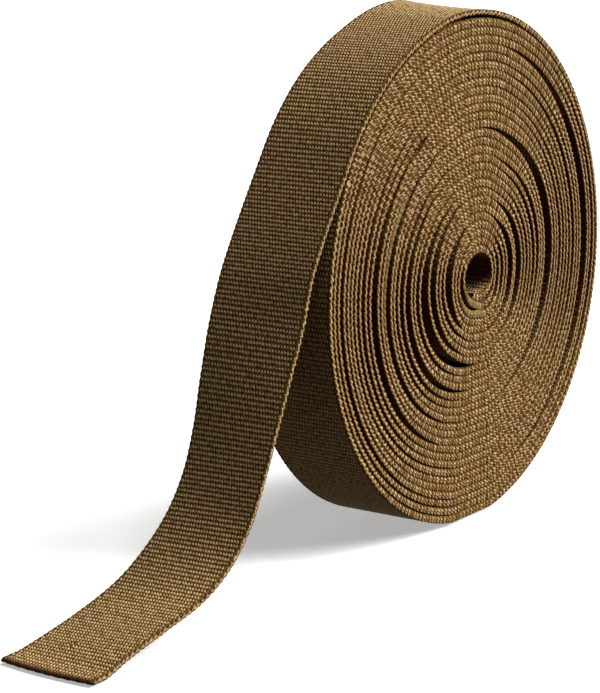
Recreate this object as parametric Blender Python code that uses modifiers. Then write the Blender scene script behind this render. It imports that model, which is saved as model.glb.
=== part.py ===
# Roll of 25 mm nylon webbing standing on its rim, its last turn pulled off and lying on the surface.
#
# The webbing is one strip, wound flat on itself about a small hole that lies off the roll's centre.
# Seen from the -Y side, with +X to the right, the strip winds outwards anticlockwise. Its outer end
# leaves the roll at the upper left, hangs down beside it and sweeps out over the surface towards -X.
# Frame: metres, +Z up, origin on the surface under the middle of the roll, the roll's axis along Y.

import math
from collections import namedtuple

import bmesh
import bpy
from mathutils import Vector

# Webbing
WEBBING_WIDTH = 0.025
WEBBING_THICKNESS = 0.0013
TOUCH_GAP = 0.0003

# Roll
ROLL_RADIUS = 0.0639
AXIS_HEIGHT = 0.0632          # a little under the radius, which leaves the flat spot the roll rests on
HOLE_RADIUS = 0.0058
HOLE_OFFSET_X = 0.0028        # from the roll's axis to the middle of the hole
HOLE_OFFSET_Z = -0.0014
WHOLE_TURNS = 28
INNER_END_DEGREES = -120      # running angle at which the winding starts, inside the hole
OUTER_END_DEGREES = 360 * WHOLE_TURNS + 100
JOIN_GAP_DEGREES = 0.5        # between the step on the rim and the start of the loose end
OUTLINE_STEP_DEGREES = 4
HOLE_STEP_DEGREES = 12

# Places where the turns stand apart. A row is one slack crescent: the turn that lies outside it, the
# angles that it spans, counted from +X towards +Z, and its width at the middle.
Slack = namedtuple("Slack", "turn from_degrees to_degrees width")
SLACK_LEFT = (
    Slack(1, 145, 270, 0.0014),
    Slack(4, 112, 240, 0.0025),
    Slack(5, 150, 250, 0.0008),
    Slack(7, 112, 250, 0.0019),
    Slack(8, 118, 268, 0.0032),
    Slack(9, 150, 250, 0.0006),
    Slack(11, 114, 262, 0.0021),
    Slack(12, 120, 250, 0.0007),
    Slack(13, 135, 250, 0.0007),
    Slack(15, 115, 250, 0.0011),
    Slack(18, 110, 246, 0.0020),
    Slack(19, 115, 240, 0.0006),
    Slack(20, 115, 245, 0.0007),
    Slack(21, 125, 260, 0.0007),
    Slack(24, 120, 240, 0.0005),
    Slack(25, 120, 250, 0.0004),
    Slack(26, 140, 270, 0.0005),
    Slack(27, 140, 270, 0.0004),
)
SLACK_RIGHT = (
    Slack(1, 300, 410, 0.0005),
    Slack(2, 300, 420, 0.0013),
    Slack(4, 295, 430, 0.0016),
    Slack(6, 295, 430, 0.0019),
    Slack(8, 300, 420, 0.0009),
    Slack(10, 320, 430, 0.0008),
    Slack(11, 320, 440, 0.0009),
    Slack(14, 290, 450, 0.0026),
    Slack(15, 295, 410, 0.0008),
    Slack(18, 295, 430, 0.0011),
    Slack(19, 300, 370, 0.0004),
    Slack(21, 285, 440, 0.0014),
    Slack(24, 285, 440, 0.0028),
    Slack(26, 300, 420, 0.0010),
)
SLACK_ROWS = SLACK_LEFT + SLACK_RIGHT
OPENED_SLACK = 0.0013         # the solid is open at the crescents that are at least this wide
SLACK_TAPER = 1.4             # above 1, a crescent runs out to long thin points
SHOWN_SLACK = 0.0003          # an opened crescent ends where it gets narrower than this
CRESCENT_STEPS = 14

# Loose end: the strip's middle line past the place where it leaves the roll, one row for each bend.
# twist is how far the edge at -Y stands nearer to the roll than the middle does.
LEAVES_DEGREES = 146
Bend = namedtuple("Bend", "x z twist")
BEND_ROWS = (
    Bend(-0.0689, 0.0739, 0.0002),
    Bend(-0.0741, 0.0612, 0.0007),
    Bend(-0.0790, 0.0485, -0.0003),
    Bend(-0.0830, 0.0375, -0.0014),
    Bend(-0.0873, 0.0280, -0.0018),
    Bend(-0.0928, 0.0198, -0.0012),
    Bend(-0.1010, 0.0127, -0.0005),
    Bend(-0.1108, 0.0078, -0.0004),
    Bend(-0.1240, 0.0046, -0.0007),
    Bend(-0.1370, 0.0021, -0.0005),
    Bend(-0.1440, WEBBING_THICKNESS / 2, 0.0000),
    Bend(-0.1487, WEBBING_THICKNESS / 2, 0.0000),
)
ROUTE_STEPS = 4
STRIP_COLUMNS = 2

WEBBING_BROWN = (0.223, 0.133, 0.052, 1.0)
WEBBING_ROUGHNESS = 0.75


def clear_scene():
    for scene_object in list(bpy.data.objects):
        bpy.data.objects.remove(scene_object, do_unlink=True)


def make_collection(name):
    collection = bpy.data.collections.new(name)
    bpy.context.scene.collection.children.link(collection)
    return collection


def make_webbing_material(name):
    material = bpy.data.materials.new(name)
    material.use_nodes = True
    shader = material.node_tree.nodes["Principled BSDF"]
    shader.inputs["Base Color"].default_value = WEBBING_BROWN
    shader.inputs["Roughness"].default_value = WEBBING_ROUGHNESS
    shader.inputs["Metallic"].default_value = 0.0
    return material


def slack_at(row, running_degrees):
    """How far one crescent lifts the turn outside it, at an angle counted on from the first turn."""
    start = 360 * row.turn + row.from_degrees
    share = (running_degrees - start) / (row.to_degrees - row.from_degrees)
    if share <= 0 or share >= 1:
        return 0.0
    return row.width * math.sin(math.pi * share) ** SLACK_TAPER


def slack_below(running_degrees):
    """All that the crescents inside a place on the winding lift it by."""
    total = 0.0
    degrees = running_degrees
    while degrees > INNER_END_DEGREES:
        total += sum(slack_at(row, degrees) for row in SLACK_ROWS)
        degrees -= 360
    return total


def rim_distance(running_degrees):
    """From the middle of the hole to the roll's round rim."""
    angle = math.radians(running_degrees)
    along = HOLE_OFFSET_X * math.cos(angle) + HOLE_OFFSET_Z * math.sin(angle)
    offset_squared = HOLE_OFFSET_X ** 2 + HOLE_OFFSET_Z ** 2
    return math.sqrt(along ** 2 + ROLL_RADIUS ** 2 - offset_squared) - along


def inner_face(running_degrees):
    """Distance from the middle of the hole to the inner face of the strip."""
    last_turn = 360 * WHOLE_TURNS + running_degrees % 360
    room = rim_distance(running_degrees) - HOLE_RADIUS - WEBBING_THICKNESS - slack_below(last_turn)
    return HOLE_RADIUS + room * running_degrees / 360 / WHOLE_TURNS + slack_below(running_degrees)


def place(running_degrees, distance):
    """A point of the roll's side view, as (x, z), flattened where it meets the surface."""
    angle = math.radians(running_degrees)
    x = HOLE_OFFSET_X + distance * math.cos(angle)
    z = AXIS_HEIGHT + HOLE_OFFSET_Z + distance * math.sin(angle)
    return (x, max(z, 0.0))


def degrees_between(start, stop, step):
    count = math.ceil((stop - start) / step)
    return [start + (stop - start) * i / count for i in range(count + 1)]


def rim_outline():
    """The outer face of the last whole turn, with the step where the loose end starts."""
    turn = degrees_between(OUTER_END_DEGREES - 360, OUTER_END_DEGREES, OUTLINE_STEP_DEGREES)
    return [place(degrees, inner_face(degrees) + WEBBING_THICKNESS) for degrees in turn]


def hole_outline():
    """The inner face of the first turn, with the step of the strip's inner end."""
    turn = degrees_between(INNER_END_DEGREES, INNER_END_DEGREES + 360, HOLE_STEP_DEGREES)
    return [place(degrees, inner_face(degrees)) for degrees in turn]


def crescent_outline(row):
    """The open space inside a turn that stands off the turn below it."""
    start = 360 * row.turn + row.from_degrees
    stop = 360 * row.turn + row.to_degrees
    while slack_at(row, start) < SHOWN_SLACK:
        start += 1
    while slack_at(row, stop) < SHOWN_SLACK:
        stop -= 1
    span = [start + (stop - start) * i / CRESCENT_STEPS for i in range(CRESCENT_STEPS + 1)]
    outer = [place(degrees, inner_face(degrees)) for degrees in span]
    inner = [place(degrees, inner_face(degrees) - slack_at(row, degrees)) for degrees in reversed(span)]
    return outer + inner


def make_wound_roll(collection):
    """One flat outline with its hole and crescents, as thick as the webbing is wide."""
    curve = bpy.data.curves.new("wound_roll", "CURVE")
    curve.dimensions = "2D"
    curve.fill_mode = "BOTH"
    curve.extrude = WEBBING_WIDTH / 2
    opened = [row for row in SLACK_ROWS if row.width >= OPENED_SLACK]
    outlines = [rim_outline(), hole_outline()] + [crescent_outline(row) for row in opened]
    for outline in outlines:
        spline = curve.splines.new("POLY")
        spline.points.add(len(outline) - 1)
        for point, (x, z) in zip(spline.points, outline):
            point.co = (x, z, 0.0, 1.0)
        spline.use_cyclic_u = True
    roll = bpy.data.objects.new("wound_roll", curve)
    roll.rotation_euler = (math.radians(90), 0, 0)
    roll.data.materials.append(make_webbing_material("wound_webbing"))
    collection.objects.link(roll)
    return roll


def smooth_route(points, steps):
    """A cubic through the points, its slope at each one taken from its neighbours."""
    lengths = [0.0]
    for first, second in zip(points, points[1:]):
        lengths.append(lengths[-1] + (second - first).length)
    slopes = []
    for i in range(len(points)):
        before = max(i - 1, 0)
        after = min(i + 1, len(points) - 1)
        slopes.append((points[after] - points[before]) / (lengths[after] - lengths[before]))
    route = [points[0]]
    for i in range(len(points) - 1):
        span = lengths[i + 1] - lengths[i]
        for step in range(1, steps + 1):
            t = step / steps
            route.append(
                points[i] * (2 * t ** 3 - 3 * t ** 2 + 1)
                + slopes[i] * span * (t ** 3 - 2 * t ** 2 + t)
                + points[i + 1] * (3 * t ** 2 - 2 * t ** 3)
                + slopes[i + 1] * span * (t ** 3 - t ** 2)
            )
    return route


def loose_end_sections():
    """Middle line of the loose end as (x, z, twist), from the step on the roll to the tip."""
    starts = OUTER_END_DEGREES + JOIN_GAP_DEGREES
    leaves = 360 * WHOLE_TURNS + LEAVES_DEGREES
    on_roll = []
    for degrees in degrees_between(starts, leaves, OUTLINE_STEP_DEGREES):
        distance = inner_face(degrees - 360) + WEBBING_THICKNESS * 1.5 + TOUCH_GAP
        x, z = place(degrees, distance)
        on_roll.append(Vector((x, z, 0.0)))
    in_the_air = [Vector(row) for row in BEND_ROWS]
    sections = on_roll[:-1] + smooth_route(on_roll[-2:] + in_the_air, ROUTE_STEPS)[ROUTE_STEPS:]
    for section in sections:
        section.y = max(section.y, WEBBING_THICKNESS / 2 + abs(section.z))
    return sections


def make_loose_end(collection):
    """A flat grid laid along the route, thickened to the webbing."""
    sections = loose_end_sections()
    mesh = bmesh.new()
    bmesh.ops.create_grid(mesh, x_segments=len(sections) - 1, y_segments=STRIP_COLUMNS, size=0.5)
    for vertex in mesh.verts:
        i = round((vertex.co.x + 0.5) * (len(sections) - 1))
        across = -2 * vertex.co.y     # 1 at the edge at -Y, -1 at the other
        before = sections[max(i - 1, 0)]
        after = sections[min(i + 1, len(sections) - 1)]
        along = Vector((after.x - before.x, 0, after.y - before.y)).normalized()
        to_roll = Vector((0, -1, 0)).cross(along)
        middle = Vector((sections[i].x, 0, sections[i].y))
        vertex.co = middle + to_roll * sections[i].z * across
        vertex.co.y = -across * WEBBING_WIDTH / 2
    data = bpy.data.meshes.new("loose_end")
    mesh.to_mesh(data)
    mesh.free()
    loose_end = bpy.data.objects.new("loose_end", data)
    thicken = loose_end.modifiers.new("webbing thickness", "SOLIDIFY")
    thicken.thickness = WEBBING_THICKNESS
    thicken.offset = 0.0
    thicken.use_even_offset = True
    data.materials.append(make_webbing_material("loose_webbing"))
    data.shade_smooth()
    data.set_sharp_from_angle(angle=math.radians(40))
    collection.objects.link(loose_end)
    return loose_end


clear_scene()
webbing_roll = make_collection("roll_of_webbing")
make_wound_roll(webbing_roll)
make_loose_end(webbing_roll)
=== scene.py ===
# A roll of 25 mm nylon webbing standing on its rim, its last turn pulled off and lying on the table.
# The strip is one path: it starts inside the hole, winds 28 times, leaves the roll at the upper left
# and ends in a heat-cut tip. Lengths in the dictionaries are in millimetres, angles in degrees.

import math

import bpy
import numpy as np
from mathutils import Matrix, Vector


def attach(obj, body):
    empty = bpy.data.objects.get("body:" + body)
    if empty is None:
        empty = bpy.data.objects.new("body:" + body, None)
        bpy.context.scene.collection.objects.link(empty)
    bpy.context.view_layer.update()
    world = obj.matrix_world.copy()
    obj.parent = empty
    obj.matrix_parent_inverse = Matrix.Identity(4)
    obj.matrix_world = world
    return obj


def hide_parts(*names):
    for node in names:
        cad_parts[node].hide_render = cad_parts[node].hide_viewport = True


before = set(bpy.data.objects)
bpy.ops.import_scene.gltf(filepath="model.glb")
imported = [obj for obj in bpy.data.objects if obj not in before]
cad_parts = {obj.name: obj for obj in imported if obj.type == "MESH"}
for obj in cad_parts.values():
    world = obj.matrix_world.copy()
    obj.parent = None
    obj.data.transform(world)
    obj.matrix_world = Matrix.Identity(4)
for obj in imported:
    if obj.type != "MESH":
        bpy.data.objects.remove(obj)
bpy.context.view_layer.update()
scene = bpy.context.scene
random = np.random.RandomState(25)

webbing = {
    "width": 25.0,
    "thickness": 1.3,
    "pick": 1.19,            # from one crossing yarn to the next, along the strip
    "crowns": 30,            # warp floats side by side across the width
    "selvedge": 0.10,        # the rounded part of each edge, seen flat
    "crownRelief": 0.42,     # how deep the holes between the floats are
    "crownSlant": 0.5,       # the floats lean, by this share of their own pitch over one pick
    "edgeRelief": 0.16,      # how far the stitches stand out of the two edges
    "edgeOntoFace": 0.3,     # the share of it that goes on round the corner, onto the faces
    "edgePressed": 0.6,      # the share of it that a pressed turn loses
    "floatHalf": (0.53, 0.64),   # half of one float, as a share of the pitch across and of the pick
    "floatUneven": 0.07,     # how much higher or lower single floats stand
    "edgeWave": 1.6,         # length of one wave of the yarn that binds the edge
    "waveReach": (0.38, 0.50),   # how far it swings, as a share of half the thickness: free, pressed
    "waveYarn": (0.66, 0.44),    # half its width, as the same share
    "waveLean": (0.20, -0.55),   # how far it runs ahead at the outer face, in waves
    "waveSoft": 1.4,         # the yarn's flanks run out this much wider than the yarn
    "pressedAt": (1.35, 1.75),   # thicknesses between which a turn goes from free to pressed
    # how far the weave runs ahead of its even spacing, as sines: height, length over 2 pi, and start
    "leads": ((0.9, 23.1, 0.0), (0.7, 9.7, 1.3), (1.6, 71.0, 4.0)),
    "leadFade": 30,          # it comes to nothing over this length at both ends of the strip
}
crownPitch = (webbing["width"] - 2 * webbing["selvedge"]) / webbing["crowns"]

roll = {
    "radius": 63.9,
    "axisHeight": 63.2,
    "holeRadius": 5.8,
    "holeX": 2.8,
    "holeZ": -1.4,
    "turns": 28,
    "innerEnd": -120,
    "outerEnd": 360 * 28 + 100,
    "touchGap": 0.3,         # between the loose end and the turn below it
    "pressed": 2.1,          # most thickness above and below the hole, where the turns press and spread
    "squeeze": 0.002,        # air between two turns there
    "easy": 0.11,            # and left and right of the hole
    "thinsOver": 60,         # degrees over which the strip gets its own thickness back before it leaves
    "wander": 0.18,          # how far the edges of single turns stand in or out of the side
    # the same as sines: share, waves in a turn, and start
    "wanders": ((1.0, 0.31, 0.2), (0.8, 0.613, 0.7), (0.6, 1.37, 0.1), (0.5, 2.71, 0.0)),
    "wanderEnds": (60, 110),     # it fades out between these angles of the last turn
    "lightWithin": 0.15,     # how much of its colour a face between two turns keeps at the sides; the rest is painted shade
    "lightFrom": (0.15, 0.75),   # how far up a face has to point to keep more of it, and all; faces that point up get less painted shade
}

# Where the turns stand apart: the turn outside the gap, the angles it spans and its width.
slackRows = (
    # left of the hole
    (1, 145, 270, 1.4), (4, 112, 240, 2.5), (5, 150, 250, 0.8), (7, 112, 250, 1.9),
    (8, 118, 268, 3.2), (9, 150, 250, 0.6), (11, 114, 262, 2.1), (12, 120, 250, 0.7),
    (13, 135, 250, 0.7), (15, 115, 250, 1.1), (18, 124, 246, 2.0), (18, 122, 136, 1.3),
    (19, 115, 240, 0.6), (20, 115, 245, 0.7), (21, 125, 260, 0.7), (24, 120, 240, 0.5),
    (25, 120, 250, 0.4), (26, 140, 270, 0.5), (27, 140, 270, 0.4),
    # right of it
    (0, 262, 345, 1.1), (1, 300, 410, 0.5), (2, 300, 420, 1.3), (4, 295, 430, 1.6),
    (6, 295, 430, 1.9), (8, 300, 420, 0.9), (10, 320, 430, 0.8), (11, 320, 440, 0.9),
    (14, 290, 450, 2.6), (15, 295, 410, 0.8), (18, 295, 430, 1.1), (19, 300, 370, 0.4),
    (21, 285, 440, 1.4), (24, 285, 440, 2.8), (26, 300, 420, 1.0),
)
slackTaper = 0.95        # 1 closes a gap like a sine, more gives it longer thin ends

# Where the edge is smoothed flat: the turn, and the angles from and to. Two stretches are beside the
# hole and one is on the left.
plainRows = ((0, 195, 275), (1, 205, 285), (15, 145, 190))
plainFade = 6

# The loose end's middle line: x, z, and how far the edge at -Y stands nearer to the roll.
looseEnd = {
    "leaves": 146,           # the angle at which it leaves the roll
    "bends": (
        (-68.9, 73.9, 0.2), (-74.1, 61.2, 0.7), (-79.0, 48.5, -0.3), (-83.0, 37.5, -1.4),
        (-87.3, 28.0, -1.8), (-92.8, 19.8, -1.2), (-101.0, 12.7, -0.5), (-110.8, 7.8, -0.4),
        (-124.0, 4.6, -0.7), (-137.0, 2.1, -0.5), (-144.0, 0.65, 0.0), (-148.7, 0.65, 0.0),
    ),
    "stepsPerBend": 16,
    "blend": 14,             # degrees over which the last turn rises onto the one below
    "farLift": 1.4,          # the far edge rides up where it starts, at the top of the roll
    "farLiftAt": 88,
    "farLiftHalf": 13,
    "tipBow": 0.8,           # the cut is bowed outwards
    "tipBowOver": 8,
    "tipMelt": 1.3,          # length that the hot knife melted
    "tipMolten": 0.52,       # and the part of it that has no weave left
    "meltDepth": 0.10,       # the melted end is this much thinner on each face, and uneven
    "meltWaves": ((0.05, 2.3), (0.04, 5.1)),
    "tipRound": (0.35, 0.5),     # how much thinner the very end is on each face, and over which length
    "pinHoleFromTip": 12.2,
    "pinHoleY": 3.0,
    "pinHoleSize": 0.55,
    "pinHoleDepth": 0.9,
    "ruffleAt": 1.2,         # the yarns that the pin pushed up stand in a ring round it
    "ruffleSize": 0.5,
    "ruffleHeight": 0.14,
}


def smooth(low, high, value):
    share = np.clip((value - low) / (high - low), 0, 1)
    return share * share * (3 - 2 * share)


# How wide the gap just inside the strip is.
def slackAt(running):
    total = np.zeros_like(running, dtype=float)
    for turn, first, last, width in slackRows:
        share = (running - 360 * turn - first) / (last - first)
        inside = (share > 0) & (share < 1)
        total[inside] += width * np.sin(math.pi * share[inside]) ** slackTaper
    return total


# The whole spiral, degree by degree: the distance of the strip's inner face from the hole's middle, and
# its thickness. What the hole and the gaps leave of the radius is shared out evenly among the turns.
def windStrip():
    running = np.arange(roll["innerEnd"] - 360, 360 * (roll["turns"] + 1) + 1, dtype=float)
    angle = np.radians(running)
    below = slackAt(running)
    for i in range(360, len(running)):
        below[i] += below[i - 360]
    along = roll["holeX"] * np.cos(angle) + roll["holeZ"] * np.sin(angle)
    offset = roll["holeX"] ** 2 + roll["holeZ"] ** 2
    rim = np.sqrt(along ** 2 + roll["radius"] ** 2 - offset) - along
    down = np.maximum(-np.sin(angle), 1e-6)
    rim = np.minimum(rim, (roll["axisHeight"] + roll["holeZ"]) / down)   # the flat spot
    lastTurn = 360 * roll["turns"] + np.mod(running, 360)
    room = rim - roll["holeRadius"] - webbing["thickness"] - np.interp(lastTurn, running, below)
    inner = roll["holeRadius"] + room * running / 360 / roll["turns"] + below
    air = roll["squeeze"] + (roll["easy"] - roll["squeeze"]) * np.cos(angle) ** 2
    thick = np.minimum(roll["pressed"], room / roll["turns"] - air)
    ending = smooth(roll["outerEnd"] - roll["thinsOver"], roll["outerEnd"], running)
    thick = thick + (webbing["thickness"] - thick) * ending
    return running, inner, thick


def onRoll(degrees, distance):
    angle = np.radians(degrees)
    x = roll["holeX"] + distance * np.cos(angle)
    z = roll["axisHeight"] + roll["holeZ"] + distance * np.sin(angle)
    return np.stack([x, z], axis=-1)


# A smooth curve through all the points, each span cut into steps.
def smoothRoute(points, steps):
    points = np.array(points, float)
    lengths = np.r_[0, np.cumsum(np.linalg.norm(np.diff(points[:, :2], axis=0), axis=1))]
    before = np.maximum(np.arange(len(points)) - 1, 0)
    after = np.minimum(np.arange(len(points)) + 1, len(points) - 1)
    slopes = (points[after] - points[before]) / (lengths[after] - lengths[before])[:, None]
    route = [points[:1]]
    t = (np.arange(steps) + 1)[:, None] / steps
    for i in range(len(points) - 1):
        span = lengths[i + 1] - lengths[i]
        route.append(points[i] * (2 * t ** 3 - 3 * t ** 2 + 1)
                     + slopes[i] * span * (t ** 3 - 2 * t ** 2 + t)
                     + points[i + 1] * (3 * t ** 2 - 2 * t ** 3)
                     + slopes[i + 1] * span * (t ** 3 - t ** 2))
    return np.concatenate(route)


def stripPath():
    running, inner, thick = windStrip()
    wound = np.arange(roll["innerEnd"], roll["outerEnd"], dtype=float)
    woundThick = np.interp(wound, running, thick)
    woundInner = np.interp(wound, running, inner)
    woundPoints = onRoll(wound, woundInner + webbing["thickness"] - woundThick / 2)

    # the last stretch on the roll lies over the turn below, then swings free
    over = np.arange(roll["outerEnd"], 360 * roll["turns"] + looseEnd["leaves"] + 1, dtype=float)
    start = np.interp(over, running, inner) + webbing["thickness"] / 2
    raised = np.interp(over - 360, running, inner) + webbing["thickness"] * 1.5 + roll["touchGap"]
    rise = smooth(0, looseEnd["blend"], over - roll["outerEnd"])
    overPoints = onRoll(over, start * (1 - rise) + raised * rise)
    # the free curve takes over its direction from two points of the wound one, then drops their span
    knots = [(x, z, 0.0) for x, z in overPoints[-5::4]] + list(looseEnd["bends"])
    free = smoothRoute(knots, looseEnd["stepsPerBend"])[looseEnd["stepsPerBend"] + 1:]
    free[:, 1] = np.maximum(free[:, 1], webbing["thickness"] / 2 + np.abs(free[:, 2]))

    points = np.concatenate([woundPoints, overPoints, free[:, :2]])
    twist = np.concatenate([np.zeros(len(wound) + len(over)), free[:, 2]])
    degrees = np.concatenate([wound, over, np.full(len(free), over[-1])])
    thickness = np.concatenate([woundThick, np.full(len(over) + len(free), webbing["thickness"])])
    lengths = np.r_[0, np.cumsum(np.linalg.norm(np.diff(points, axis=0), axis=1))]
    along = np.gradient(points, lengths, axis=0)
    outward = np.stack([along[:, 1], -along[:, 0]], axis=1)
    outward /= np.linalg.norm(outward, axis=1)[:, None]
    return {"length": lengths, "point": points, "outward": outward, "twist": twist,
            "degrees": degrees, "thickness": thickness, "onRoll": len(wound) + len(over)}


path = stripPath()
stripLength = path["length"][-1]
print("strip laid:", round(stripLength), "mm of webbing")

jitterColumns, jitterRows = 64, 4096
jitter = random.uniform(-1, 1, (jitterColumns, jitterRows))


# The floats of the two faces, 0 between them and about 1 on their tops.
def crownHeight(y, length):
    halfAcross, halfAlong = webbing["floatHalf"]
    row = length / webbing["pick"]
    best = np.zeros(np.broadcast(y, length).shape)
    for step in (-1, 0, 1):
        index = np.floor(row) + step
        fromRow = row - index - 0.5
        column = y / crownPitch + 0.5 * np.mod(index, 2) + webbing["crownSlant"] * fromRow
        fromColumn = np.mod(column, 1) - 0.5
        own = jitter[np.mod(np.floor(column).astype(int), jitterColumns),
                     np.mod(index.astype(int), jitterRows)]
        bump = 1 - (fromColumn / halfAcross) ** 2 - (fromRow / halfAlong) ** 2
        best = np.maximum(best, np.sqrt(np.clip(bump, 0, 1)) * (1 + webbing["floatUneven"] * own))
    return best


# Each edge is bound by one yarn that waves between the strip's faces. turn goes from -1 on the inner face
# to 1 on the outer one.
def edgeHeight(length, turn, pressed):
    reach, yarn, lean = (low + (high - low) * pressed for low, high in
                         (webbing["waveReach"], webbing["waveYarn"], webbing["waveLean"]))
    swing = reach * np.cos(2 * math.pi * (length / webbing["edgeWave"] + lean * turn))
    return np.sqrt(np.clip(1 - ((turn - swing) / yarn / webbing["waveSoft"]) ** 2, 0, 1))


def wanderAt(degrees):
    turns = degrees / 360
    waves = sum(share * np.sin(2 * math.pi * (rate * turns + start))
                for share, rate, start in roll["wanders"])
    return roll["wander"] * waves / 2


# The picks never lie quite evenly, so the edges of neighbouring turns fall in and out of step.
def weaveLead(woven):
    lead = sum(reach * np.sin(woven / length + start) for reach, length, start in webbing["leads"])
    fade = webbing["leadFade"]
    return lead * smooth(0, fade, woven) * smooth(0, fade, stripLength - woven)


# One closed ring round the section: outer face, far edge, inner face, near edge. Each edge has three
# points, rounded a little.
def sectionRing(outer, inner):
    bend = np.array([0.9, 0.0, -0.9])
    inset = np.array([0.01, 0.0, 0.01])
    reach = webbing["width"] / 2
    face = reach - webbing["selvedge"]
    across = np.concatenate([outer * face, reach - inset, -inner * face, inset - reach])
    height = np.concatenate([np.ones(len(outer)), bend, -np.ones(len(inner)), -bend])
    return across, height


# The points of the strip's rings at the lengths in woven, with what the material has to know of them.
def layStrip(woven, ring):
    across, height = ring
    half = webbing["width"] / 2
    y, turn = across[None, :], height[None, :]
    run = np.broadcast_to(woven - weaveLead(woven), (len(woven), len(across)))

    def at(values):
        return np.interp(run, path["length"], values)

    middleX, middleZ = at(path["point"][:, 0]), at(path["point"][:, 1])
    outX, outZ = at(path["outward"][:, 0]), at(path["outward"][:, 1])
    size = np.hypot(outX, outZ)
    outX, outZ = outX / size, outZ / size
    degrees, thick, twist = at(path["degrees"]), at(path["thickness"]), at(path["twist"])
    fromTip = stripLength - run

    # the floats pass into the bound edge just inside it
    rim = half - np.abs(y)
    edgeFrom, edgeTo = webbing["selvedge"] + 0.1, webbing["selvedge"] + 0.7
    edge = np.broadcast_to(1 - smooth(edgeFrom, edgeTo, rim), run.shape)
    crown = crownHeight(y, woven)
    pressed = np.broadcast_to(smooth(*webbing["pressedAt"], thick), run.shape)
    bound = edgeHeight(woven, turn, pressed)
    melted = 1 - smooth(looseEnd["tipMolten"], looseEnd["tipMelt"], fromTip)
    hole = np.hypot(fromTip - looseEnd["pinHoleFromTip"], y - looseEnd["pinHoleY"])
    onTop = turn > 0.99
    pinHole = np.where(onTop, np.exp(-(hole / looseEnd["pinHoleSize"]) ** 2), 0)
    ruffle = np.where(onTop, np.exp(-((hole - looseEnd["ruffleAt"]) / looseEnd["ruffleSize"]) ** 2), 0)

    faceDepth = (webbing["crownRelief"] * (1 - crown) + looseEnd["pinHoleDepth"] * pinHole
                 - looseEnd["ruffleHeight"] * ruffle)
    boundDepth = webbing["edgeRelief"] * (1 - bound) * (1 - webbing["edgePressed"] * pressed)
    (slowDepth, slowRate), (quickDepth, quickRate) = looseEnd["meltWaves"]
    unevenTip = (looseEnd["meltDepth"] + slowDepth * np.sin(slowRate * y)
                 + quickDepth * np.sin(quickRate * y + turn))
    wovenDepth = faceDepth * (1 - edge) + webbing["edgeOntoFace"] * boundDepth * edge
    depth = wovenDepth * (1 - melted) + melted * unevenTip
    inward = boundDepth * (rim < webbing["selvedge"] + 0.01) * (1 - melted)
    roundDepth, roundOver = looseEnd["tipRound"]
    endRound = roundDepth * (1 - smooth(0, roundOver, fromTip))

    lift = turn * (thick / 2 - endRound - depth * np.abs(turn)) + twist * y / half
    fromLift = (degrees - 360 * roll["turns"] - looseEnd["farLiftAt"]) / looseEnd["farLiftHalf"]
    farSide = np.clip((y / half + 1) / 2, 0, 1)
    lift = lift + looseEnd["farLift"] * np.exp(-fromLift ** 2) * farSide ** 2
    lastOnRoll, free = (360 * roll["turns"] + end for end in roll["wanderEnds"])
    sideways = y - inward * np.sign(y) + wanderAt(degrees) * (1 - smooth(lastOnRoll, free, degrees))

    bow = looseEnd["tipBow"] * (1 - (y / half) ** 2) * (1 - smooth(0, looseEnd["tipBowOver"], fromTip))
    x = middleX + outX * lift - outZ * bow
    z = np.maximum(middleZ + outZ * lift + outX * bow, 0.0)
    return {"points": np.stack([x, sideways, z], axis=2) / 1000, "y": y, "turn": turn, "outZ": outZ,
            "degrees": degrees, "pressed": pressed, "scorch": np.clip(melted + pinHole, 0, 1)}


# Quads from row to row of the ring, and a cap on each end of the whole strip.
def stitchMesh(name, points, capStart, capTip):
    rows, columns = points.shape[:2]
    index = np.arange(rows * columns).reshape(rows, columns)
    following = np.roll(index, -1, axis=1)
    quads = np.stack([index[:-1], index[1:], following[1:], following[:-1]], axis=2).reshape(-1, 4)
    corners = quads.ravel()
    counts = np.full(len(quads), 4)
    if capTip:
        corners = np.concatenate([corners, index[-1]])
        counts = np.append(counts, columns)
    if capStart:
        corners = np.concatenate([corners, index[0, ::-1]])
        counts = np.append(counts, columns)
    mesh = bpy.data.meshes.new(name)
    mesh.vertices.add(rows * columns)
    mesh.vertices.foreach_set("co", points.astype(np.float32).ravel())
    mesh.loops.add(len(corners))
    mesh.loops.foreach_set("vertex_index", corners.astype(np.int32))
    mesh.polygons.add(len(counts))
    mesh.polygons.foreach_set("loop_start", np.r_[0, np.cumsum(counts)[:-1]].astype(np.int32))
    mesh.update(calc_edges=True)
    mesh.validate()
    mesh.shade_smooth()
    return mesh, corners


# What the material reads at each point: how pressed the turn is (2 where its edge is plain), which way
# the point faces, how scorched it is, and how much light reaches it, which is painted into the colour as
# shade.
def markPoints(laid, lightWithin):
    # painted shade: above and below the hole light comes down between the turns, left and right of it none
    # does
    facesUp = smooth(*roll["lightFrom"], laid["outZ"] * np.sign(laid["turn"]))
    reached = lightWithin + (1 - lightWithin) * np.maximum(facesUp, laid["pressed"])
    light = np.where(np.abs(laid["turn"]) < 0.9, 1.0, reached)
    pressed = laid["pressed"]
    for plainTurn, plainFrom, plainTo in plainRows:
        inTurn = laid["degrees"] - 360 * plainTurn
        begun = smooth(plainFrom - plainFade, plainFrom + plainFade, inTurn)
        ended = smooth(plainTo - plainFade, plainTo + plainFade, inTurn)
        plain = begun * (1 - ended)
        pressed = pressed * (1 - plain) + 2 * plain
    turned = np.broadcast_to(laid["turn"] * 0.5 + 0.5, pressed.shape)
    return np.stack([pressed, turned, laid["scorch"], light], axis=2)


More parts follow.
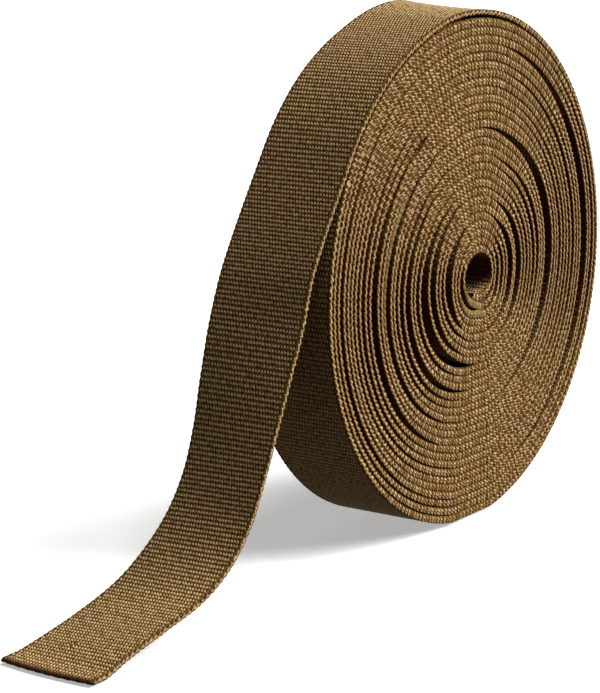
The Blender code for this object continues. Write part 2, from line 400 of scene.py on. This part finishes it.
def makeStrip(name, start, stop, stepsPerPick, ring, lightWithin):
    pick = webbing["pick"]
    first, last = round(start / pick * stepsPerPick), round(stop / pick * stepsPerPick)
    woven = np.minimum(np.arange(first, last + 1) * pick / stepsPerPick, stripLength)[:, None]
    laid = layStrip(woven, ring)
    reachesTip = last * pick / stepsPerPick >= stripLength - pick
    mesh, corners = stitchMesh(name, laid["points"], start == 0, reachesTip)
    shape = laid["degrees"].shape
    weave = np.stack([np.broadcast_to(laid["y"], shape), np.broadcast_to(woven, shape)], axis=2)
    weave = weave.reshape(-1, 2)[corners]
    mesh.uv_layers.new(name="weave").data.foreach_set("uv", weave.astype(np.float32).ravel())
    marks = markPoints(laid, lightWithin)
    layer = mesh.color_attributes.new("marks", "FLOAT_COLOR", "POINT")
    layer.data.foreach_set("color", marks.astype(np.float32).ravel())
    strip = bpy.data.objects.new(name, mesh)
    scene.collection.objects.link(strip)
    return strip


def fromHex(code):
    parts = [int(code[i:i + 2], 16) / 255 for i in (1, 3, 5)]
    linear = [c / 12.92 if c <= 0.04045 else ((c + 0.055) / 1.055) ** 2.4 for c in parts]
    return (*linear, 1.0)


def addNode(tree, kind, values=None, links=None, **settings):
    node = tree.nodes.new(kind)
    for name, value in settings.items():
        setattr(node, name, value)
    for key, value in (values or {}).items():
        node.inputs[key].default_value = value
    for key, socket in (links or {}).items():
        tree.links.new(socket, node.inputs[key])
    return node


def setRamp(node, stops):
    ramp = node.color_ramp
    while len(ramp.elements) > 1:
        ramp.elements.remove(ramp.elements[-1])
    ramp.elements[0].position, ramp.elements[0].color = stops[0]
    for position, color in stops[1:]:
        ramp.elements.new(position).color = color


# Woven nylon, dyed coyote brown. The eye sees tan floats with a faint shine and dark holes between them,
# edges bound by a waving yarn, and a dye that is a little greener or pinker from place to place. The colour
# follows the relief: the holes, the row feet, the pockets beside the edge yarn and the groove are painted
# shade, and the float tops and the edge yarn's crests carry a painted sheen. Between the turns it is
# painted nearly black as shade, and the heat-cut end is dark brown.
nylon = {
    "deep": "#1e0600",       # the bottom of the holes, painted shade
    "shade": "#4a2a0b",
    "body": "#7f6335",
    "crown": "#a99475",      # the tops of the floats, with a painted sheen
    "tones": (0.05, 0.35, 0.75, 1.0),   # where these four stand
    "olive": "#75602c",
    "pink": "#8c6542",
    "dyed": 0.2,             # how far the colour goes towards those two
    "dyeSpots": (0.32, 0.68),
    "cord": "#645226",       # an edge seen flat
    # the painted shade on faces between two turns, where no light comes down
    "between": "#3c1405",
    "scorched": "#3c2712",
    "roughness": (0.50, 0.68),
    "ior": 1.53,
    "shine": 0.02,
    # the floats: sizes across in floats and along in picks, tones from 0, deep (painted shade), to 1, crown
    # (painted sheen), and how far a float's middle stands out, as a share of the bump
    "holeHalf": (0.23, 0.38),
    "holeFade": 1.3,
    "holeTone": (0.04, 0.42),    # painted shade in an open hole and a nearly closed one
    "rowFade": (0.18, 0.48),     # from the middle of a row to its foot
    # the tone at a row's foot: painted shade in the valley between rows
    "rowFoot": 0.38,
    "floatRise": 1.3,
    # the edges
    "strays": 1.2,               # how far the waving yarn strays, in waves
    "strayScale": 0.9,
    "besideYarn": (0.30, 0.40),  # painted shade beside the yarn: free, pressed
    "yarnFade": (0.1, 1.7),
    "looseWave": (0.80, 0.14),   # tone of the yarn, and how much it changes along a wave
    # tone of a pressed turn's yarn, and how much lighter its crests are: a painted highlight
    "pressedWave": (0.1, 1.0),
    "stitchFade": 1.8,
    "stitchRise": 1.3,
    "flatFrom": 0.9,             # the part of the edge that is seen flat
    "flatCord": 0.65,
    "plainCord": 0.5,
    "plainFrom": (1.2, 1.9),     # how high the mark of a plain stretch has to be for none and all of it
    "cordTone": 0.95,
    "cordRise": 0.9,
    "edgeZone": (0.6, 0.4),      # distances from the rim between which the floats end, in mm
    "grooveAt": 0.52,
    "grooveFade": (0.06, 0.26),
    # painted shade in the groove
    "grooveTone": 0.3,
    # how fine the unevenness is, in patterns per mm across and along, and how strong
    "filaments": (6.5, 1.2),
    "yarns": (1.2, 0.84),
    "uneven": 0.2,
    "dyeScale": 140.0,           # per metre
    "filamentRise": 0.06,        # in mm
    "filamentStrength": 0.35,
    "bumpOnRoll": 0.30,          # the height of the floats' and stitches' bump, in mm
    "bumpOnLooseEnd": 0.50,
}


# The floats of the faces: a row for each pick, every other row half a float further on. Returns how light
# they are, with painted shade in the holes and row feet and a painted sheen on the tops, and how far they
# stand out.
def drawFloats(tree, across, along):
    holeAcrossHalf, holeAlongHalf = nylon["holeHalf"]
    openTone, closedTone = nylon["holeTone"]
    rowTop, rowEnd = nylon["rowFade"]
    row = addNode(tree, "ShaderNodeMath", {1: webbing["pick"]}, {0: along}, operation="DIVIDE")
    rowIndex = addNode(tree, "ShaderNodeMath", links={0: row.outputs[0]}, operation="FLOOR")
    rowPart = addNode(tree, "ShaderNodeMath", links={0: row.outputs[0]}, operation="FRACT")
    fromRow = addNode(tree, "ShaderNodeMath", {1: 0.5}, {0: rowPart.outputs[0]}, operation="SUBTRACT")
    odd = addNode(tree, "ShaderNodeMath", {1: 2.0}, {0: rowIndex.outputs[0]}, operation="MODULO")
    shift = addNode(tree, "ShaderNodeMath", {1: 0.5}, {0: odd.outputs[0]}, operation="MULTIPLY")
    lean = addNode(tree, "ShaderNodeMath", {1: webbing["crownSlant"]},
                   {0: fromRow.outputs[0], 2: shift.outputs[0]}, operation="MULTIPLY_ADD")
    column = addNode(tree, "ShaderNodeMath", {1: 1 / crownPitch}, {0: across, 2: lean.outputs[0]},
                     operation="MULTIPLY_ADD")
    # columnPart is 0 between two floats and 0.5 on the middle of one
    columnPart = addNode(tree, "ShaderNodeMath", {1: 0.5}, {0: column.outputs[0]}, operation="PINGPONG")
    holeAcross = addNode(tree, "ShaderNodeMath", {1: holeAcrossHalf}, {0: columnPart.outputs[0]},
                         operation="DIVIDE")
    holeAlong = addNode(tree, "ShaderNodeMath", {1: holeAlongHalf}, {0: fromRow.outputs[0]},
                        operation="DIVIDE")
    acrossSquare = addNode(tree, "ShaderNodeMath", {1: 2.0}, {0: holeAcross.outputs[0]}, operation="POWER")
    holeSquare = addNode(tree, "ShaderNodeMath", operation="MULTIPLY_ADD",
                         links={0: holeAlong.outputs[0], 1: holeAlong.outputs[0],
                                2: acrossSquare.outputs[0]})
    # the floats lie in pairs: in every other row each second hole is nearly closed
    nearest = addNode(tree, "ShaderNodeMath", links={0: column.outputs[0]}, operation="ROUND")
    second = addNode(tree, "ShaderNodeMath", {1: 1.0}, {0: nearest.outputs[0]}, operation="PINGPONG")
    closed = addNode(tree, "ShaderNodeMath", links={0: second.outputs[0], 1: odd.outputs[0]},
                     operation="MULTIPLY")
    floorOfHole = addNode(tree, "ShaderNodeMapRange", {1: 0.0, 2: 1.0, 3: openTone, 4: closedTone},
                          {0: closed.outputs[0]})
    hole = addNode(tree, "ShaderNodeMapRange", {1: 0.0, 2: nylon["holeFade"], 4: 1.0},
                   {0: holeSquare.outputs[0], 3: floorOfHole.outputs[0]}, interpolation_type="SMOOTHSTEP")
    distance = addNode(tree, "ShaderNodeMath", links={0: fromRow.outputs[0]}, operation="ABSOLUTE")
    # painted shade: the foot of each row is darker
    valley = addNode(tree, "ShaderNodeMapRange", {1: rowTop, 2: rowEnd, 3: 1.0, 4: nylon["rowFoot"]},
                     {0: distance.outputs[0]}, interpolation_type="SMOOTHSTEP")
    tone = addNode(tree, "ShaderNodeMath", links={0: hole.outputs[0], 1: valley.outputs[0]},
                   operation="MULTIPLY")
    rounded = addNode(tree, "ShaderNodeMapRange", {1: 0.0, 2: 0.5, 3: nylon["floatRise"], 4: 0.0},
                      {0: distance.outputs[0]}, interpolation_type="SMOOTHSTEP")
    rise = addNode(tree, "ShaderNodeMath", links={0: hole.outputs[0], 1: rounded.outputs[0]},
                   operation="MULTIPLY")
    return tone.outputs[0], rise.outputs[0]


# The waving yarn of the bound edges, as in their geometry. Returns how light they are, with painted shade
# beside the yarn and a painted highlight on a pressed turn's crests, how far they stand out, and how much
# they look like one smooth cord.
def drawEdges(tree, weave, along, pressedMark, turnedMark):
    besideFree, besidePressed = nylon["besideYarn"]
    yarnFrom, yarnTo = nylon["yarnFade"]
    plainFrom, plainTo = nylon["plainFrom"]
    looseMiddle, looseChange = nylon["looseWave"]
    pressedLow, pressedChange = nylon["pressedWave"]
    turned = addNode(tree, "ShaderNodeMapRange", {1: 0.0, 2: 1.0, 3: -1.0, 4: 1.0}, {0: turnedMark})
    turnAbs = addNode(tree, "ShaderNodeMath", links={0: turned.outputs[0]}, operation="ABSOLUTE")
    loosely = addNode(tree, "ShaderNodeTexNoise", {"Scale": nylon["strayScale"], "Detail": 1.0}, {0: weave})
    strayed = addNode(tree, "ShaderNodeMath", {1: nylon["strays"], 2: -nylon["strays"] / 2},
                      {0: loosely.outputs[0]}, operation="MULTIPLY_ADD")
    # each of these goes from its free to its pressed value
    pressed = addNode(tree, "ShaderNodeMapRange", {1: 0.0, 2: 1.0, 3: 0.0, 4: 1.0}, {0: pressedMark})
    reach, yarn, leans = (addNode(tree, "ShaderNodeMapRange", {1: 0.0, 2: 1.0, 3: webbing[key][0],
                                                               4: webbing[key][1]}, {0: pressed.outputs[0]})
                          for key in ("waveReach", "waveYarn", "waveLean"))
    leaning = addNode(tree, "ShaderNodeMath", links={0: turned.outputs[0], 1: leans.outputs[0],
                                                     2: strayed.outputs[0]}, operation="MULTIPLY_ADD")
    wavePart = addNode(tree, "ShaderNodeMath", {1: 1 / webbing["edgeWave"]},
                       {0: along, 2: leaning.outputs[0]}, operation="MULTIPLY_ADD")
    wavePhase = addNode(tree, "ShaderNodeMath", {1: 2 * math.pi}, {0: wavePart.outputs[0]},
                        operation="MULTIPLY")
    wave = addNode(tree, "ShaderNodeMath", links={0: wavePhase.outputs[0]}, operation="COSINE")
    falling = addNode(tree, "ShaderNodeMath", links={0: wavePhase.outputs[0]}, operation="SINE")
    swing = addNode(tree, "ShaderNodeMath", links={0: wave.outputs[0], 1: reach.outputs[0]},
                    operation="MULTIPLY")
    offYarn = addNode(tree, "ShaderNodeMath", links={0: turned.outputs[0], 1: swing.outputs[0]},
                      operation="SUBTRACT")
    offShare = addNode(tree, "ShaderNodeMath", links={0: offYarn.outputs[0], 1: yarn.outputs[0]},
                       operation="DIVIDE")
    offSquare = addNode(tree, "ShaderNodeMath", {1: 2.0}, {0: offShare.outputs[0]}, operation="POWER")
    # painted shade in the pockets beside the yarn
    besideYarn = addNode(tree, "ShaderNodeMapRange", {1: 0.0, 2: 1.0, 3: besideFree, 4: besidePressed},
                         {0: pressed.outputs[0]})
    onYarn = addNode(tree, "ShaderNodeMapRange", {1: yarnFrom, 2: yarnTo, 3: 1.0, 4: 0.0},
                     {0: offSquare.outputs[0]}, interpolation_type="SMOOTHSTEP")
    # it shows most where it runs down to the inner face, and in a pressed turn it gets a painted highlight
    # where it swings widest
    crest = addNode(tree, "ShaderNodeMath", links={0: wave.outputs[0]}, operation="ABSOLUTE")
    looseTone = addNode(tree, "ShaderNodeMath", {1: looseChange, 2: looseMiddle}, {0: falling.outputs[0]},
                        operation="MULTIPLY_ADD")
    pressedTone = addNode(tree, "ShaderNodeMath", {1: pressedChange, 2: pressedLow}, {0: crest.outputs[0]},
                          operation="MULTIPLY_ADD")
    waveTone = addNode(tree, "ShaderNodeMix", links={0: pressed.outputs[0], 2: looseTone.outputs[0],
                                                     3: pressedTone.outputs[0]})
    yarnShare = addNode(tree, "ShaderNodeMath", links={0: onYarn.outputs[0], 1: waveTone.outputs[0]},
                        operation="MULTIPLY")
    stitchTone = addNode(tree, "ShaderNodeMix", {3: 1.0},
                         {0: yarnShare.outputs[0], 2: besideYarn.outputs[0]})
    stitchRise = addNode(tree, "ShaderNodeMapRange",
                         {1: 0.0, 2: nylon["stitchFade"], 3: nylon["stitchRise"], 4: 0.0},
                         {0: offSquare.outputs[0]}, interpolation_type="SMOOTHSTEP")
    # a free edge is one smooth cord where it is seen flat, and so is a plain stretch all round
    notPressed = addNode(tree, "ShaderNodeMath", {0: 1.0}, {1: pressed.outputs[0]}, operation="SUBTRACT")
    onFlat = addNode(tree, "ShaderNodeMapRange",
                     {1: nylon["flatFrom"], 2: 1.0, 3: 0.0, 4: nylon["flatCord"]}, {0: turnAbs.outputs[0]})
    flatCord = addNode(tree, "ShaderNodeMath", links={0: onFlat.outputs[0], 1: notPressed.outputs[0]},
                       operation="MULTIPLY")
    plain = addNode(tree, "ShaderNodeMapRange", {1: plainFrom, 2: plainTo, 3: 0.0, 4: nylon["plainCord"]},
                    {0: pressedMark})
    cord = addNode(tree, "ShaderNodeMath", links={0: flatCord.outputs[0], 1: plain.outputs[0]},
                   operation="MAXIMUM")
    tone = addNode(tree, "ShaderNodeMix", {3: nylon["cordTone"]},
                   {0: cord.outputs[0], 2: stitchTone.outputs[0]})
    rise = addNode(tree, "ShaderNodeMix", {3: nylon["cordRise"]},
                   {0: cord.outputs[0], 2: stitchRise.outputs[0]})
    return tone.outputs[0], rise.outputs[0], cord.outputs[0]


def makeNylon(name, bumpHeight):
    material = bpy.data.materials.new(name)
    material.use_nodes = True
    tree = material.node_tree
    shader = tree.nodes["Principled BSDF"]
    half = webbing["width"] / 2
    zoneFrom, zoneTo = nylon["edgeZone"]
    grooveFrom, grooveTo = nylon["grooveFade"]
    oliveAt, pinkAt = nylon["dyeSpots"]
    deepAt, shadeAt, bodyAt, crownAt = nylon["tones"]
    smoothest, roughest = nylon["roughness"]

    uv = addNode(tree, "ShaderNodeUVMap", uv_map="weave")
    split = addNode(tree, "ShaderNodeSeparateXYZ", links={0: uv.outputs[0]})
    marks = addNode(tree, "ShaderNodeAttribute", attribute_name="marks")
    parts = addNode(tree, "ShaderNodeSeparateColor", links={0: marks.outputs["Color"]})
    fromMiddle = addNode(tree, "ShaderNodeMath", links={0: split.outputs[0]}, operation="ABSOLUTE")
    edgeShare = addNode(tree, "ShaderNodeMapRange", {1: half - zoneFrom, 2: half - zoneTo},
                        {0: fromMiddle.outputs[0]}, interpolation_type="SMOOTHSTEP")
    floatTone, floatRise = drawFloats(tree, split.outputs[0], split.outputs[1])
    edgeTone, edgeRise, cord = drawEdges(tree, uv.outputs[0], split.outputs[1], parts.outputs[0],
                                         parts.outputs[1])
    # a groove runs between the cord and the first floats, darkened as painted shade
    fromGroove = addNode(tree, "ShaderNodeMath", {1: half - nylon["grooveAt"]}, {0: fromMiddle.outputs[0]},
                         operation="SUBTRACT")
    besideGroove = addNode(tree, "ShaderNodeMath", links={0: fromGroove.outputs[0]}, operation="ABSOLUTE")
    groove = addNode(tree, "ShaderNodeMapRange",
                     {1: grooveFrom, 2: grooveTo, 3: nylon["grooveTone"], 4: 1.0},
                     {0: besideGroove.outputs[0]}, interpolation_type="SMOOTHSTEP")
    height = addNode(tree, "ShaderNodeMix", links={0: edgeShare.outputs[0], 2: floatTone, 3: edgeTone})
    stands = addNode(tree, "ShaderNodeMix", links={0: edgeShare.outputs[0], 2: floatRise, 3: edgeRise})

    # filaments run along the floats, too fine to see one by one, so they are drawn at 0.15 mm
    filamentScale = addNode(tree, "ShaderNodeMapping", {"Scale": (*nylon["filaments"], 1.0)},
                            {0: uv.outputs[0]})
    filaments = addNode(tree, "ShaderNodeTexNoise", {"Scale": 1.0, "Detail": 2.0},
                        {0: filamentScale.outputs[0]})
    yarnScale = addNode(tree, "ShaderNodeMapping", {"Scale": (*nylon["yarns"], 1.0)}, {0: uv.outputs[0]})
    yarns = addNode(tree, "ShaderNodeTexNoise", {"Scale": 1.0, "Detail": 1.0}, {0: yarnScale.outputs[0]})
    place = addNode(tree, "ShaderNodeTexCoord")
    dye = addNode(tree, "ShaderNodeTexNoise", {"Scale": nylon["dyeScale"], "Detail": 3.0},
                  {0: place.outputs["Object"]})
    uneven = addNode(tree, "ShaderNodeMapRange", {1: 0.3, 2: 0.7, 3: -nylon["uneven"], 4: nylon["uneven"]},
                     {0: yarns.outputs[0]})
    # the tone picks the colour: low tones are painted shade, high ones a painted sheen
    toned = addNode(tree, "ShaderNodeMath", links={0: height.outputs[0], 1: groove.outputs[0],
                                                   2: uneven.outputs[0]}, operation="MULTIPLY_ADD")
    tone = addNode(tree, "ShaderNodeValToRGB", links={0: toned.outputs[0]})
    setRamp(tone, [(deepAt, fromHex(nylon["deep"])), (shadeAt, fromHex(nylon["shade"])),
                   (bodyAt, fromHex(nylon["body"])), (crownAt, fromHex(nylon["crown"]))])
    tint = addNode(tree, "ShaderNodeValToRGB", links={0: dye.outputs[0]})
    setRamp(tint, [(oliveAt, fromHex(nylon["olive"])), (0.5, fromHex(nylon["body"])),
                   (pinkAt, fromHex(nylon["pink"]))])
    tinted = addNode(tree, "ShaderNodeMix", {0: nylon["dyed"]}, {6: tone.outputs[0], 7: tint.outputs[0]},
                     data_type="RGBA", blend_type="COLOR")
    cordShare = addNode(tree, "ShaderNodeMath", links={0: cord, 1: edgeShare.outputs[0]},
                        operation="MULTIPLY")
    corded = addNode(tree, "ShaderNodeMix", {7: fromHex(nylon["cord"])},
                     {0: cordShare.outputs[0], 6: tinted.outputs[2]}, data_type="RGBA")
    # painted shade: between two turns no light comes down to the flats, so they take a near-black brown
    shadedBetweenTurns = addNode(tree, "ShaderNodeMix", {6: fromHex(nylon["between"])},
                     {0: marks.outputs["Alpha"], 7: corded.outputs[2]}, data_type="RGBA")
    burnt = addNode(tree, "ShaderNodeMix", {7: fromHex(nylon["scorched"])},
                    {0: parts.outputs[2], 6: shadedBetweenTurns.outputs[2]}, data_type="RGBA")
    tree.links.new(burnt.outputs[2], shader.inputs["Base Color"])

    rough = addNode(tree, "ShaderNodeMapRange", {1: 0.3, 2: 0.7, 3: smoothest, 4: roughest},
                    {0: filaments.outputs[0]})
    tree.links.new(rough.outputs[0], shader.inputs["Roughness"])
    relief = addNode(tree, "ShaderNodeBump", {"Strength": 1.0, "Distance": bumpHeight / 1000},
                     {"Height": stands.outputs[0]})
    fine = addNode(tree, "ShaderNodeBump",
                   {"Strength": nylon["filamentStrength"], "Distance": nylon["filamentRise"] / 1000},
                   {"Height": filaments.outputs[0], "Normal": relief.outputs[0]})
    tree.links.new(fine.outputs[0], shader.inputs["Normal"])
    shader.inputs["IOR"].default_value = nylon["ior"]
    shader.inputs["Specular IOR Level"].default_value = nylon["shine"]
    return material


# Points across a face: two for each float where it is seen, four or two where only its edges are.
seenFace = np.linspace(-1, 1, 2 * webbing["crowns"] + 1)
hiddenFace = np.array([-1.0, -0.9, 0.9, 1.0])
plainFace = hiddenFace[[0, 3]]


def lengthAt(degrees):
    onRoll = path["onRoll"]
    return float(np.interp(degrees, path["degrees"][:onRoll], path["length"][:onRoll]))


# A piece starts and stops on every second pick, so that the floats run on across the joint.
def toPick(length):
    return round(length / (2 * webbing["pick"])) * 2 * webbing["pick"]


rimStart = toPick(lengthAt(roll["outerEnd"] - 360))
looseStart = toPick(lengthAt(roll["outerEnd"]))
coreStop = toPick(rimStart / 3)
middleStop = toPick(rimStart * 2 / 3)
between = roll["lightWithin"]
# name, start, stop, steps in a pick, outer and inner face, light on them as painted shade, slot, how it is
# held
pieces = (
    ("core_turns", 0, coreStop, 3, hiddenFace, hiddenFace, between, "wound_webbing", "folded"),
    ("middle_turns", coreStop, middleStop, 3, hiddenFace, hiddenFace, between, "wound_webbing", "folded"),
    ("outer_turns", middleStop, rimStart, 3, hiddenFace, hiddenFace, between, "wound_webbing", "folded"),
    ("rim_turn", rimStart, looseStart, 4, seenFace, plainFace, 1.0, "wound_webbing", "folded"),
    ("pulled_off_end", looseStart, stripLength, 4, seenFace, seenFace, 1.0, "loose_webbing", "hung"),
)
woundNylon = makeNylon("woven nylon on the roll", nylon["bumpOnRoll"])
looseNylon = makeNylon("woven nylon of the loose end", nylon["bumpOnLooseEnd"])
for name, start, stop, steps, outer, inner, lightWithin, slot, held in pieces:
    strip = makeStrip(name, start, stop, steps, sectionRing(outer, inner), lightWithin)
    strip.data.materials.append(looseNylon if slot == "loose_webbing" else woundNylon)
    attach(strip, "root")
    triangles = sum(len(p.vertices) - 2 for p in strip.data.polygons)
    print(name, "made:", round(stop - start), "mm,", triangles, "triangles")
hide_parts("wound_roll")
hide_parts("loose_end")

# A pale table in soft daylight: a broad key from the right and a fill from above.
studio = {
    "floor": "#e6e5e3",
    "floorRoughness": 0.9,
    "floorGlow": 0.40,       # the table is lit from below as well, which keeps its shadows faint
    "floorHalf": 8,          # in metres
    "floorDrop": 0.4,        # it lies this far under the object, so that the two never flicker
    "skyAbove": 0.09,
    "skyBelow": 0.28,
    "skyFade": (-0.1, 0.6),  # heights of direction between which it goes from below to above
    "keyStrength": 7.0,      # spreads are the angles that the two softboxes fill
    "keyFrom": (0.72, -0.92, 0.95),
    "keySpread": 45,
    "fillStrength": 1.8,
    "fillFrom": (-0.02, -0.30, 1.0),
    "fillSpread": 18,
}

far = studio["floorHalf"]
floorMesh = bpy.data.meshes.new("floor")
floorMesh.from_pydata([(-far, -far, 0), (far, -far, 0), (far, far, 0), (-far, far, 0)], [], [(0, 1, 2, 3)])
floor = bpy.data.objects.new("floor", floorMesh)
floor.location.z = -studio["floorDrop"] / 1000
scene.collection.objects.link(floor)

# Matt paper: a pale, even ground that shows nothing but faint soft shadows.
paper = bpy.data.materials.new("matt white paper")
paper.use_nodes = True
paperInputs = paper.node_tree.nodes["Principled BSDF"].inputs
paperInputs["Base Color"].default_value = fromHex(studio["floor"])
paperInputs["Roughness"].default_value = studio["floorRoughness"]
paperInputs["Emission Color"].default_value = (1, 1, 1, 1)
paperInputs["Emission Strength"].default_value = studio["floorGlow"]
floorMesh.materials.append(paper)
floor.visible_diffuse = False
floor.visible_glossy = False

world = bpy.data.worlds.new("studio")
world.use_nodes = True
facing = addNode(world.node_tree, "ShaderNodeTexCoord")
rises = addNode(world.node_tree, "ShaderNodeSeparateXYZ", links={0: facing.outputs["Generated"]})
skyLow, skyHigh = studio["skyFade"]
skyLight = addNode(world.node_tree, "ShaderNodeMapRange",
                   {1: skyLow, 2: skyHigh, 3: studio["skyBelow"], 4: studio["skyAbove"]},
                   {0: rises.outputs[2]})
background = world.node_tree.nodes["Background"].inputs
background["Color"].default_value = (1, 1, 1, 1)
world.node_tree.links.new(skyLight.outputs[0], background["Strength"])
scene.world = world

for name in ("key", "fill"):
    lamp = bpy.data.lights.new(name + " softbox", "SUN")
    lamp.energy = studio[name + "Strength"]
    lamp.angle = math.radians(studio[name + "Spread"])
    light = bpy.data.objects.new(name + " softbox", lamp)
    light.rotation_euler = Vector(studio[name + "From"]).to_track_quat("Z", "Y").to_euler()
    scene.collection.objects.link(light)

# The camera that was fitted to the photo. Its roll is the tilt of the picture.
view = {
    "azimuth": -54.59,
    "elevation": 12.38,
    "roll": -0.34,
    "distance": 557.8,
    "target": (-57.08, 0.0, 52.94),
    "focalPixels": 2394.6,
    "imageHeight": 693,
    "sensor": 36.0,
    "clip": (0.01, 30.0),    # in metres
}
azimuth, elevation, tilt = (math.radians(view[k]) for k in ("azimuth", "elevation", "roll"))
back = Vector((math.sin(azimuth) * math.cos(elevation), -math.cos(azimuth) * math.cos(elevation),
               math.sin(elevation)))
level = Vector((math.cos(azimuth), math.sin(azimuth), 0.0))
upright = back.cross(level)
right = level * math.cos(tilt) + upright * math.sin(tilt)
up = upright * math.cos(tilt) - level * math.sin(tilt)
lens = bpy.data.cameras.new("camera")
lens.sensor_width = view["sensor"]
lens.lens = view["focalPixels"] / view["imageHeight"] * view["sensor"]
lens.clip_start, lens.clip_end = view["clip"]
camera = bpy.data.objects.new("camera", lens)
facingBack = Matrix((right, up, back)).transposed().to_4x4()
stand = (Vector(view["target"]) + back * view["distance"]) / 1000
camera.matrix_world = Matrix.Translation(stand) @ facingBack
scene.collection.objects.link(camera)
scene.camera = camera
scene.view_settings.view_transform = "Standard"
print("studio set")
